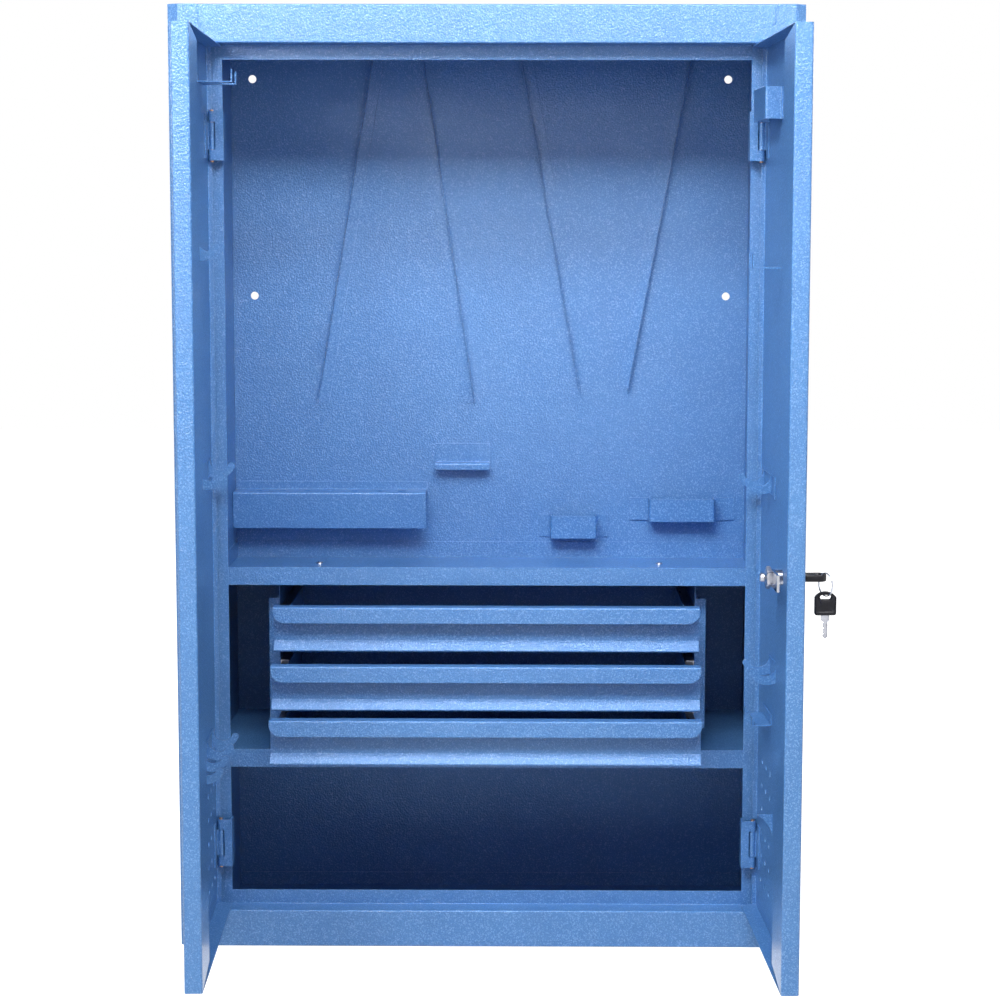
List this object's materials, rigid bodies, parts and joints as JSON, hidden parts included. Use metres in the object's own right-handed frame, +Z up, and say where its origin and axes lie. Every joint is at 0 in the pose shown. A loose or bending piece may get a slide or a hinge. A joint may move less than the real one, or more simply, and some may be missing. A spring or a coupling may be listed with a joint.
{
  "type": "two-door tool cabinet",
  "caption": "Tall folded-steel tool cabinet with two inset hinged doors, tool hooks, wall racks, shelves, a cam lock and pull-out drawers on telescopic slides.",
  "frame": {"origin": "centre of the base, midway between the front frame and the back panel, on the floor plane", "axes": "+X to the cabinet's right seen from the front, +Y towards the back panel, +Z up"},
  "size_m": [0.6665, 0.5088, 1],
  "materials": {
    "carcass_paint": "semi-gloss hammertone powder coat",
    "door_paint": "semi-gloss hammertone powder coat",
    "drawer_paint": "semi-gloss hammertone powder coat",
    "hinge_paint": "semi-gloss hammertone powder coat",
    "fitting_paint": "semi-gloss hammertone powder coat",
    "zinc": "bright zinc plate",
    "pin_copper": "copper-coloured wash",
    "lock_chrome": "polished",
    "key_black": "satin black"
  },
  "bodies": {
    "cabinet": {"back_panel": "carcass_paint", "centre_tool_ledge": "fitting_paint", "chassis_rivets": "zinc", "fixed_slides": "zinc", "floor_panel": "carcass_paint", "hanging_rail_1": "fitting_paint", "hanging_rail_2": "fitting_paint", "hanging_rail_3": "fitting_paint", "hanging_rail_4": "fitting_paint", "header_rail": "carcass_paint", "hinge_brackets": "hinge_paint", "hinge_pins": "pin_copper", "left_chassis_plate": "carcass_paint", "left_side_liner": "carcass_paint", "left_side_panel": "carcass_paint", "long_tool_rack": "fitting_paint", "lower_shelf": "carcass_paint", "middle_shelf": "carcass_paint", "plinth_rail": "carcass_paint", "right_chassis_plate": "carcass_paint", "right_side_liner": "carcass_paint", "right_side_panel": "carcass_paint", "roof_panel": "carcass_paint", "small_tool_loop": "fitting_paint", "wide_tool_loop": "fitting_paint"},
    "left_door": {"left_door": "door_paint", "left_hinge_leaves": "hinge_paint", "left_prong_hook": "fitting_paint", "left_upper_cradle": "fitting_paint", "left_middle_cradle": "fitting_paint", "left_lower_cradle": "fitting_paint"},
    "right_door": {"right_door": "door_paint", "right_hinge_leaves": "hinge_paint", "right_strap_bracket": "fitting_paint", "right_prong_hook": "fitting_paint", "right_upper_cradle": "fitting_paint", "right_lower_cradle": "fitting_paint", "right_rail_bracket": "fitting_paint", "right_gusset": "fitting_paint", "lock_housing": "lock_chrome"},
    "lock_rotor": {"lock_plug": "lock_chrome", "lock_cam": "lock_chrome", "lock_nut": "lock_chrome", "cam_screw": "lock_chrome", "key": "key_black"},
    "hanging_key": {"key_ring": "lock_chrome", "spare_key": "key_black"},
    "upper_drawer": {"upper_drawer_box": "drawer_paint", "upper_drawer_front": "drawer_paint", "upper_drawer_slides": "zinc"},
    "upper_middle_slides": {"upper_middle_slides": "zinc"},
    "middle_drawer": {"middle_drawer_box": "drawer_paint", "middle_drawer_front": "drawer_paint", "middle_drawer_slides": "zinc"},
    "middle_middle_slides": {"middle_middle_slides": "zinc"},
    "lower_drawer": {"lower_drawer_box": "drawer_paint", "lower_drawer_front": "drawer_paint", "lower_drawer_slides": "zinc"},
    "lower_middle_slides": {"lower_middle_slides": "zinc"}
  },
  "joints": [
    {"name": "left_door_hinge", "type": "hinge", "parent": "cabinet", "child": "left_door", "pos_m": [-0.2865, -0.1008, 0.5], "axis": [0, 0, -1], "range_deg": [-38, 6.5]},
    {"name": "right_door_hinge", "type": "hinge", "parent": "cabinet", "child": "right_door", "pos_m": [0.2865, -0.1008, 0.5], "axis": [0, 0, 1], "range_deg": [-30, 2.5]},
    {"name": "lock_turn", "type": "hinge", "parent": "right_door", "child": "lock_rotor", "pos_m": [0.29632, -0.35401, 0.4415], "axis": [0.9992, 0.0387, 0], "range_deg": [0, 90]},
    {"name": "key_ring_swing", "type": "hinge", "parent": "lock_rotor", "child": "hanging_key", "pos_m": [0.32607, -0.36023, 0.4356], "axis": [-0.8811, -0.4729, 0], "range_deg": [-15, 15]},
    {"name": "upper_drawer_slide", "type": "slide", "parent": "cabinet", "child": "upper_drawer", "axis": [0, -1, 0], "range_m": [-0.0509, 0.0891]},
    {"name": "upper_middle_slide", "type": "slide", "parent": "cabinet", "child": "upper_middle_slides", "axis": [0, -1, 0], "range_m": [-0.02545, 0.04455]},
    {"name": "middle_drawer_slide", "type": "slide", "parent": "cabinet", "child": "middle_drawer", "axis": [0, -1, 0], "range_m": [-0.0776, 0.0624]},
    {"name": "middle_middle_slide", "type": "slide", "parent": "cabinet", "child": "middle_middle_slides", "axis": [0, -1, 0], "range_m": [-0.0388, 0.0312]},
    {"name": "lower_drawer_slide", "type": "slide", "parent": "cabinet", "child": "lower_drawer", "axis": [0, -1, 0], "range_m": [-0.0981, 0.0419]},
    {"name": "lower_middle_slide", "type": "slide", "parent": "cabinet", "child": "lower_middle_slides", "axis": [0, -1, 0], "range_m": [-0.04905, 0.02095]}
  ],
  "couplings": [
    {"joint": "upper_middle_slide", "follows": "upper_drawer_slide", "ratio": 0.5},
    {"joint": "middle_middle_slide", "follows": "middle_drawer_slide", "ratio": 0.5},
    {"joint": "lower_middle_slide", "follows": "lower_drawer_slide", "ratio": 0.5}
  ]
}
